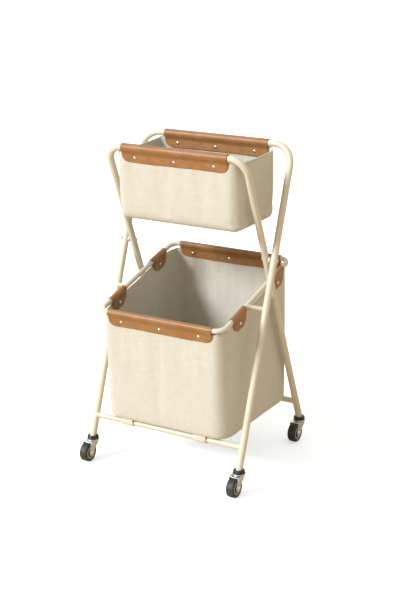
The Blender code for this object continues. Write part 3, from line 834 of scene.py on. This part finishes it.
# ---- baskets: lofted cloth shells that sag, with piping on their edges ----

def roundedLoop(halfWidth, front, back, cornerX, cornerY, counts):
    # points anticlockwise from the right-hand back corner, the same number for every size
    sideCount, endCount, cornerCount = counts
    unit = [arcPoints(0.0, 0.0, 1.0, start, start + 90, cornerCount) for start in (0, 90, 180, 270)]
    middles = ((halfWidth - cornerX, back - cornerY), (-halfWidth + cornerX, back - cornerY),
               (-halfWidth + cornerX, front + cornerY), (halfWidth - cornerX, front + cornerY))
    corners = [[(x + cornerX * a, y + cornerY * b) for a, b in arc] for (x, y),
               arc in zip(middles, unit)]
    points = []
    for place, run in enumerate((endCount, sideCount, endCount, sideCount)):
        points += corners[place]
        before, after = corners[place][-1], corners[(place + 1) % 4][0]
        for step in range(1, run):
            share = step / run
            points.append((before[0] + (after[0] - before[0]) * share,
                           before[1] + (after[1] - before[1]) * share))
    return points


def outwardOf(loop):
    # unit vectors that point out of a loop, one for each point
    count = len(loop)
    result = []
    for k in range(count):
        before = loop[k - 1]
        after = loop[(k + 1) % count]
        dx, dy = after[0] - before[0], after[1] - before[1]
        length = math.hypot(dx, dy) or 1.0
        result.append((dy / length, -dx / length))
    return result


def distances(points, closed=True):
    total = [0.0]
    pairs = list(zip(points, points[1:]))
    if closed:
        pairs.append((points[-1], points[0]))
    for first, second in pairs:
        total.append(total[-1] + (Vector(second) - Vector(first)).length)
    return total


def gridPiece(name, rows, textureOf, closed, capFirst=False):
    # a mesh of quads between rows of points, with its own texture map in metres
    count = len(rows[0])
    points = [tuple(point) for row in rows for point in row]
    faces = []
    marks = []
    wide = count if closed else count - 1
    for i in range(len(rows) - 1):
        for k in range(wide):
            after = (k + 1) % count
            faces.append((i * count + k, i * count + after, (i + 1) * count + after,
                          (i + 1) * count + k))
            marks.append((textureOf(i, k, i), textureOf(i, k + 1, i),
                          textureOf(i + 1, k + 1, i), textureOf(i + 1, k, i)))
    if capFirst:
        faces.append(tuple(reversed(range(count))))
        marks.append(tuple((rows[0][k][0], rows[0][k][1]) for k in reversed(range(count))))
    mesh = bpy.data.meshes.new(name)
    mesh.from_pydata(points, [], faces)
    layer = mesh.uv_layers.new(name="clothMap")
    for face, mark in zip(mesh.polygons, marks):
        for corner, place in zip(face.loop_indices, mark):
            layer.data[corner].uv = place
    mesh.update()
    piece = bpy.data.objects.new(name, mesh)
    bpy.context.collection.objects.link(piece)
    pickOnly(piece)
    bpy.ops.object.shade_smooth()
    return piece


def settleCloth(piece, held, settings):
    # lets the cloth hang from its held points, and limits how far it may go
    group = piece.vertex_groups.new(name="held")
    group.add(held, 1.0, "REPLACE")
    before = [point.co.copy() for point in piece.data.vertices]
    pickOnly(piece)
    cloth = piece.modifiers.new("cloth", "CLOTH")
    cloth.settings.vertex_group_mass = "held"
    cloth.settings.quality = settings["quality"]
    cloth.settings.mass = settings["mass"]
    cloth.settings.tension_stiffness = settings["stiffness"]
    cloth.settings.compression_stiffness = settings["stiffness"]
    cloth.settings.shear_stiffness = settings["stiffness"] * 0.4
    cloth.settings.bending_stiffness = settings["bending"]
    cloth.settings.shrink_min = -settings["spare"]
    cloth.settings.use_pressure = True
    cloth.settings.uniform_pressure_force = settings["pressure"]
    cloth.collision_settings.use_collision = False
    cloth.collision_settings.use_self_collision = False
    cloth.point_cache.frame_end = settings["frames"]
    scene = bpy.context.scene
    for step in range(1, settings["frames"] + 1):
        scene.frame_set(step)
    bpy.ops.object.modifier_apply(modifier="cloth")
    scene.frame_set(1)
    limit = settings["limit"]
    farthest = 0.0
    for point, was in zip(piece.data.vertices, before):
        move = point.co - was
        far = move.length
        farthest = max(farthest, far)
        if far > 0.0:
            point.co = was + move * (limit * math.tanh(far / limit) / far)
    piece.vertex_groups.clear()
    print(piece.name, "settled, farthest move", round(farthest * 1000, 2), "mm")


def folds(along, share, waves):
    # soft upright folds that die out at the top and the floor
    total = 0.0
    for length, depth, phase, drift in waves:
        total += depth * math.sin(2 * math.pi * along / length + phase + drift * share)
    return total * math.sin(math.pi * min(1.0, share * 1.02)) ** 0.8


def bagShell(name, size, topHeight, counts, levels):
    # rows from the middle of the floor out and up the walls
    bottom = size["bottom"]
    top = size["top"]
    floor = size["floor"]
    roundOff = size["floorRound"]
    middleY = (bottom[1] + bottom[2]) / 2
    def insetLoop(inset):
        return roundedLoop(bottom[0] - inset, bottom[1] + inset, bottom[2] - inset,
                           max(0.004, bottom[3] - inset), max(0.004, bottom[4] - inset), counts)

    base = insetLoop(roundOff)
    rows = []
    for share in (0.02, 0.25, 0.5, 0.72, 0.88):
        rows.append([(x * share, foldY + middleY + (y - middleY) * share,
                      floor - size["floorSag"] * (1 - share ** 2)) for x, y in base])
    for angle in (0, 22.5, 45, 67.5):
        inset = roundOff * (1 - math.sin(math.radians(angle)))
        lift = roundOff * (1 - math.cos(math.radians(angle)))
        rows.append([(x, foldY + y, floor + lift) for x, y in insetLoop(inset)])
    floorRows = len(rows)
    start = floor + roundOff
    around = None
    for level in range(levels + 1):
        share = level / levels
        sizes = [a + (b - a) * share for a, b in zip(bottom, top)]
        loop = roundedLoop(*sizes, counts)
        out = outwardOf(loop)
        if around is None:
            around = distances([(x, y, 0.0) for x, y in loop])
        row = []
        for k, (x, y) in enumerate(loop):
            push = folds(around[k], share, size["folds"])
            push += size["belly"] * math.sin(math.pi * share ** 0.8)
            row.append((x + out[k][0] * push, foldY + y + out[k][1] * push,
                        start + (topHeight(x, y) - start) * share))
        rows.append(row)

    def textureOf(i, k, faceRow):
        if faceRow < floorRows - 1:
            point = rows[i][k % len(rows[i])]
            return (point[0], point[1])
        return (around[k], rows[i][k % len(rows[i])][2])

    piece = gridPiece(name, rows, textureOf, True, capFirst=True)
    return piece, rows, floorRows


def pipingAlong(name, path, radius, sides=10):
    # a closed cord of cloth along an edge
    count = len(path)
    around = distances(path)
    rows = []
    for k, point in enumerate(path):
        along = (Vector(path[(k + 1) % count]) - Vector(path[k - 1])).normalized()
        across = along.cross(Vector((0.0, 0.0, 1.0))).normalized()
        up = across.cross(along)
        rows.append([Vector(point) + radius * (math.cos(2 * math.pi * s / sides) * across
                                               + math.sin(2 * math.pi * s / sides) * up)
                     for s in range(sides)])
    rows.append(rows[0])
    piece = gridPiece(name, rows, lambda i, k,
                      faceRow: (k * 2 * math.pi * radius / sides, around[i]), True)
    pickOnly(piece)
    bpy.ops.object.mode_set(mode="EDIT")
    bpy.ops.mesh.select_all(action="SELECT")
    bpy.ops.mesh.remove_doubles(threshold=0.000004)
    bpy.ops.mesh.normals_make_consistent(inside=False)
    bpy.ops.object.mode_set(mode="OBJECT")
    return piece


def addThickness(piece, thickness, offset):
    wall = piece.modifiers.new("thickness", "SOLIDIFY")
    wall.thickness = thickness
    wall.offset = offset
    # an even offset would throw out spikes where folded cloth creases
    wall.use_even_offset = False


def wallSlope(bagFace, tubeAt, tubeHeight, startHeight):
    # how far a wall leans out for each metre up, if its middle aims at a tube's centre
    return (tubeAt - (bagFace - 0.0015)) / (tubeHeight - startHeight)


clothSettle = {"quality": 6, "mass": 0.25, "stiffness": 40.0, "bending": 4.0, "spare": 0.004,
               "frames": 12}
lowerBagSizes = {"floor": 0.1134, "floorRound": 0.012, "floorSag": 0.0, "belowRim": 0.0125,
                 "bottom": (0.1660, -0.1663, 0.1470, 0.036, 0.042), "belly": 0.0012,
                 "folds": ((0.171, 0.0001, 0.4, 0.9), (0.093, 0.00005, 2.1, -1.1),
                           (0.263, 0.00015, 4.0, 0.5)),
                 "counts": (44, 46, 7), "levels": 46, "cloth": 0.0022,
                 "settle": dict(clothSettle, pressure=0.2, limit=0.0012)}
frontSlope = wallSlope(0.1668, -rimFront, rimZ(rimFront), 0.1212)
backSlope = wallSlope(0.1475, rimBack, rimZ(rimBack), 0.1212)


def sideSlope(y):
    return wallSlope(0.1665, rimSizes["halfWidth"], rimZ(y), 0.1212)


def lowerBag():
    size = dict(lowerBagSizes)
    below = size["belowRim"]
    half = 0.0011
    size["top"] = (rimSizes["halfWidth"] + half - sideSlope(rimSizes["middle"]) * below,
                   rimFront - half + frontSlope * below, rimBack + half - backSlope * below,
                   0.0265, 0.042)

    def topHeight(x, y):
        # a little slack between the cuffs
        slack = 0.0011 * (1 - math.cos(2 * math.pi * (y - cuffPlaces["front"]) / 0.1795)) / 2
        return rimZ(y) - below - (slack if abs(x) > 0.15 else 0.0)

    piece, rows, floorRows = bagShell("lowerBag", size, topHeight, size["counts"], size["levels"])
    count = len(rows[0])
    held = list(range(count * (floorRows - 3)))
    held += list(range(count * (len(rows) - 2), count * len(rows)))
    settleCloth(piece, held, size["settle"])
    addThickness(piece, size["cloth"], -1.0)
    edge = [Vector((x, y, z + 0.0006)) for x, y, z in rows[-1]]
    out = outwardOf([(x, y) for x, y, z in rows[-1]])
    edge = [point - Vector((dx, dy, 0.0)) * 0.0011 for point, (dx, dy) in zip(edge, out)]
    piping = pipingAlong("lowerBagPiping", edge, 0.0019)
    dress(piping, "linen", "piping")
    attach(piping, "outer_frame")
    finishPiece(piece, "outer_frame", ["lower_bag"], "linen")
    return piece


upperBagSizes = {"floor": 0.5847, "floorRound": 0.014, "floorSag": 0.0012, "top": 0.7400,
                 "wallTop": 0.744,
                 "bottom": (0.1609, -0.0900, 0.0855, 0.022, 0.022), "belly": 0.0010,
                 "folds": ((0.171, 0.0002, 1.1, 0.8), (0.093, 0.0001, 0.3, -0.9)),
                 "counts": (26, 50, 6), "levels": 26, "cloth": 0.0022, "sideSag": 0.0025,
                 "settle": dict(clothSettle, pressure=0.15, limit=0.003)}
upperFrontSlope = wallSlope(0.0905, frameSizes["railReach"], frameSizes["rail"], 0.5915)
upperBackSlope = wallSlope(0.0860, frameSizes["railReach"], frameSizes["rail"], 0.5915)
wallDrop = frameSizes["rail"] - upperBagSizes["wallTop"]
upperTopFront = -frameSizes["railReach"] - 0.0011 + upperFrontSlope * wallDrop
upperTopBack = frameSizes["railReach"] + 0.0011 - upperBackSlope * wallDrop


def upperBag():
    size = dict(upperBagSizes)
    size["top"] = (0.1586, upperTopFront, upperTopBack, 0.020, 0.020)

    def topHeight(x, y):
        depth = y / upperTopFront if y < 0 else y / upperTopBack
        rise = min(1.0, max(0.0, (depth - 0.86) / 0.12))
        rise = rise * rise * (3 - 2 * rise)
        sag = size["sideSag"] * max(0.0, 1 - depth ** 2)
        return upperBagSizes["top"] - sag * (1 - rise) + (size["wallTop"] - upperBagSizes["top"]) * rise

    piece, rows, floorRows = bagShell("upperBag", size, topHeight, size["counts"], size["levels"])
    count = len(rows[0])
    held = list(range(count * (floorRows - 4), count * floorRows))
    held += list(range(count * (len(rows) - 2), count * len(rows)))
    settleCloth(piece, held, size["settle"])
    addThickness(piece, size["cloth"], -1.0)
    edge = [Vector((x, y, z + 0.0005)) for x, y, z in rows[-1]]
    out = outwardOf([(x, y) for x, y, z in rows[-1]])
    edge = [point - Vector((dx, dy, 0.0)) * 0.0011 for point, (dx, dy) in zip(edge, out)]
    piping = pipingAlong("upperBagPiping", edge, 0.0017)
    dress(piping, "linen", "piping")
    dress(piece, "linen")
    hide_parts("upper_bag")
    for part in (piece, piping):
        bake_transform(part)


cuffPlaces = {"front": -0.1000, "back": 0.0795}
lowerBag()
upperBag()
print("baskets done")


# ---- loops round the front crossbar ----

loopSizes = {"halfWidth": 0.016, "cloth": 0.0014, "places": (("left", -0.108), ("right", 0.0925))}


def barLoop(label, x):
    barY = legPoint(1, -1, frameSizes["barHeight"]).y
    reach = frameSizes["bar"] + 0.0004 + 0.0007
    height = frameSizes["barHeight"]
    path = [(barY - reach, 0.1140), (barY - reach, height + 0.006), (barY - reach, height + 0.003)]
    path += arcPoints(barY, height, reach, 180, 360, 20)
    path += [(barY + reach, height + 0.003), (barY + reach, height + 0.006), (barY + reach, 0.1140)]
    along = distances([(y, z, 0.0) for y, z in path], False)
    columns = 10
    rows = []
    for y, z in path:
        row = []
        for k in range(columns + 1):
            across = -1 + 2 * k / columns
            row.append((x + across * loopSizes["halfWidth"] * (1 + 0.01 * math.sin(300 * z)),
                        y - 0.0002 * (1 - across ** 2), z))
        rows.append(row)
    span = 2 * loopSizes["halfWidth"] / columns
    piece = gridPiece(f"{label}BarLoop", rows, lambda i, k, faceRow: (k * span, along[i]), False)
    addThickness(piece, loopSizes["cloth"], 0.0)
    finishPiece(piece, "outer_frame", [f"{label}_bar_loop"], "linen", "piping")


for label, x in loopSizes["places"]:
    barLoop(label, x)


# ---- leather folded over the rails and the rim ----

leatherSizes = {"thick": 0.0016, "flapHalf": 0.1395, "upperDrop": 0.0325, "lowerDrop": 0.030,
                "corner": 0.018, "cuffHalf": 0.0305, "cuffDrop": 0.034, "cloth": 0.003,
                "rivetSpread": 0.104, "cell": 0.0022, "dimple": 0.00035,
                "pucker": 0.00035}


def leatherSection(radius, reach):
    # the leather's middle line, (across, height) from the tube's centre, evenly spaced
    thick = leatherSizes["thick"]
    middle = radius + 0.0004 + thick / 2
    pinch = leatherSizes["cloth"] / 2 + 0.0003 + thick / 2
    half = arcPoints(0.0, 0.0, middle, 90, -38, 24)
    half += [(pinch + 0.0009, -radius - 0.0034), (pinch, -radius - 0.0060), (pinch, -reach)]
    total = distances([(a, b, 0.0) for a, b in half], False)
    count = int(round(total[-1] / 0.0014))
    even = []
    place = 0
    for step in range(count + 1):
        want = total[-1] * step / count
        while place < len(total) - 2 and total[place + 1] < want:
            place += 1
        share = (want - total[place]) / (total[place + 1] - total[place])
        even.append(tuple(a + (b - a) * share for a, b in zip(half[place], half[place + 1])))
    for _ in range(3):
        even = [even[0]] + [tuple((a + 2 * b + c) / 4 for a, b, c in zip(*three))
                            for three in zip(even, even[1:], even[2:])] + [even[-1]]
    return [(-across, height) for across, height in reversed(even[1:])] + even


def roundedEnds(half, corner):
    def width(fromEdge):
        if fromEdge >= corner:
            return half
        return half - corner + math.sqrt(corner ** 2 - (corner - fromEdge) ** 2)
    return width


def shieldEnds(half, reach):
    def width(fromEdge):
        share = min(1.0, max(0.0, fromEdge / reach))
        return half * math.sqrt(max(0.2, 1 - (1 - share) ** 3.5))
    return width


def hanging(point, lean, yaw=0.0, pitch=0.0):
    turn = Matrix.Rotation(yaw, 4, "Z") @ Matrix.Rotation(pitch, 4, "Y")
    return Matrix.Translation(point) @ turn @ Matrix.Rotation(lean, 4, "X")


def foldedLeather(name, radius, reach, width, matrix, spots, rivetDrop, seed):
    section = leatherSection(radius, reach)
    along = distances([(a, b, 0.0) for a, b in section], False)
    widest = width(reach)
    columns = int(round(2 * widest / leatherSizes["cell"]))
    rows = []
    edges = []
    paintedCreaseShades = []
    for i, (across, height) in enumerate(section):
        fromEdge = height + reach
        half = width(fromEdge)
        row = []
        for k in range(columns + 1):
            x = half * (-1 + 2 * k / columns)
            crease = math.exp(-((height + radius + 0.0045) / 0.0035) ** 2)
            wave = math.sin(2 * math.pi * x / 0.023 + seed) + 0.7 * math.sin(2 * math.pi * x / 0.0141 + 2 * seed)
            swell = leatherSizes["pucker"] * crease * wave * 0.5
            flat = min(1.0, max(0.0, (-height - radius - 0.004) / 0.006))
            swell += 0.0003 * flat * (1 + math.sin(2 * math.pi * x / 0.088 + seed))
            for spot in spots:
                far = math.hypot(x - spot, height + rivetDrop)
                swell -= leatherSizes["dimple"] * math.exp(-(far / 0.0075) ** 2)
            side = 1.0 if across >= 0 else -1.0
            sway = 0.0005 * math.sin(2 * math.pi * x / 0.21 + seed) * flat
            row.append(matrix @ Vector((x, across + side * max(-0.0003, swell), height + sway)))
            toEdge = min(half - abs(x) * 1.0, fromEdge if fromEdge < 0.02 else 1.0)
            if fromEdge < leatherSizes["corner"] and half < widest:
                toEdge = min(toEdge, (half - abs(x)) * 0.8)
            edges.append(max(0.0, 1 - toEdge / 0.0018))
            # the crease band is kept as an attribute that darkens the leather there as painted shade
            paintedCreaseShades.append(crease)
        rows.append(row)
    piece = gridPiece(name, rows, lambda i, k, faceRow: (k * 2 * widest / columns, along[i]), False)
    for label, values in (("nearEdge", edges), ("paintedCreaseShade", paintedCreaseShades)):
        mark = piece.data.attributes.new(label, "FLOAT", "POINT")
        mark.data.foreach_set("value", values)
    addThickness(piece, leatherSizes["thick"], 0.0)
    soft = piece.modifiers.new("softEdge", "BEVEL")
    soft.width = 0.00045
    soft.segments = 2
    soft.limit_method = "ANGLE"
    soft.angle_limit = 0.9
    return piece, along[-1]


rivetProfile = [(0.0, 0.0024), (0.0012, 0.00235), (0.0024, 0.0020), (0.0034, 0.00145),
                (0.0041, 0.0008),
                (0.0045, 0.0002), (0.0045, -0.0001), (0.0014, -0.0001)]


def addRivets(prefix, nodePrefix, matrix, spots, drop, body):
    face = (2 * leatherSizes["thick"] + leatherSizes["cloth"] + 0.0012) / 2 - 0.0001
    profile = [(radius, along + face) for radius, along in rivetProfile]
    profile += [(radius, -along) for radius, along in reversed(profile)]
    for label, nodeLabel, x in spots:
        centre = matrix @ Vector((x, 0.0, -drop))
        axis = matrix.to_3x3() @ Vector((0.0, 1.0, 0.0))
        rivet = turnedPiece(f"{prefix}{label}Rivet", profile, centre, axis, 28, 60)
        finishPiece(rivet, body, [f"{nodePrefix}{nodeLabel}"], "nickel")


def longFlaps():
    size = leatherSizes
    rail = frameSizes["railReach"]
    tube = frameSizes["tube"]
    rows = (
        ("upperFront", "upper_front", tube, -rail, frameSizes["rail"], upperFrontSlope,
         size["upperDrop"],
         "inner_frame", "innerFrame", 0.3),
        ("upperBack", "upper_back", tube, rail, frameSizes["rail"], upperBackSlope,
         size["upperDrop"],
         "outer_frame", "outerFrame", 1.9),
        ("lowerFront", "lower_front", rimSizes["tube"], rimFront, rimZ(rimFront), frontSlope,
         size["lowerDrop"], "outer_frame", "lowerRim", 3.1),
        ("lowerBack", "lower_back", rimSizes["tube"], rimBack, rimZ(rimBack), backSlope,
         size["lowerDrop"], "outer_frame", "lowerRim", 4.4),
    )
    for name, node, radius, y, z, slope, reach, body, over, seed in rows:
        matrix = hanging((0.0, foldY + y, z), math.atan(slope), 0.0 if y < 0 else math.pi)
        spread = size["rivetSpread"]
        right = spread if y < 0 else -spread
        spots = (("Left", "_left", -right), ("Middle", "_middle", 0.0), ("Right", "_right", right))
        piece, length = foldedLeather(f"{name}Flap", radius, reach,
                                      roundedEnds(size["flapHalf"], size["corner"]), matrix,
                                      (-spread, 0.0, spread), reach - 0.0105, seed)
        finishPiece(piece, body, [f"{node}_flap"], "tan_leather")
        addRivets(name, f"{node}_rivet", matrix, spots, reach - 0.0105, body)


def rimCuffs():
    size = leatherSizes
    pitch = math.atan(rimSizes["slope"])
    for side, label in ((-1, "left"), (1, "right")):
        for end, y in cuffPlaces.items():
            matrix = hanging((side * rimSizes["halfWidth"], foldY + y, rimZ(y)),
                             math.atan(sideSlope(y)),
                             math.radians(90 * side), -side * pitch)
            piece, length = foldedLeather(f"{end}{label.title()}Cuff", rimSizes["tube"],
                                          size["cuffDrop"],
                                          shieldEnds(size["cuffHalf"], size["cuffDrop"]), matrix,
                                          (0.0,), 0.0215, side + 7 * y)
            finishPiece(piece, "outer_frame", [f"{end}_{label}_cuff"], "tan_leather")
            addRivets(f"{end}{label.title()}Cuff", f"{end}_{label}_cuff_rivet", matrix,
                      (("", "", 0.0),),
                      0.0215, "outer_frame")


longFlaps()
rimCuffs()
print("leather and rivets done")


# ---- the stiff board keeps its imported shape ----

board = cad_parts["lower_base_board"]
for slot in board.material_slots:
    slot.material = materials["covered_board"]


# ---- floor, light and camera ----

pickNone()
bpy.ops.mesh.primitive_plane_add(size=60.0, location=(0.0, 18.0, 0.0))
floor = bpy.context.object
floor.name = "paleFloor"
bpy.ops.object.transform_apply(location=True, rotation=True, scale=True)
floor.data.materials.append(floorMaterial())
addWorld(studioLight)
addKeyLight(studioLight)
addCamera(cameraView)
bpy.context.scene.view_settings.view_transform = "Standard"
print("floor, light and camera set")
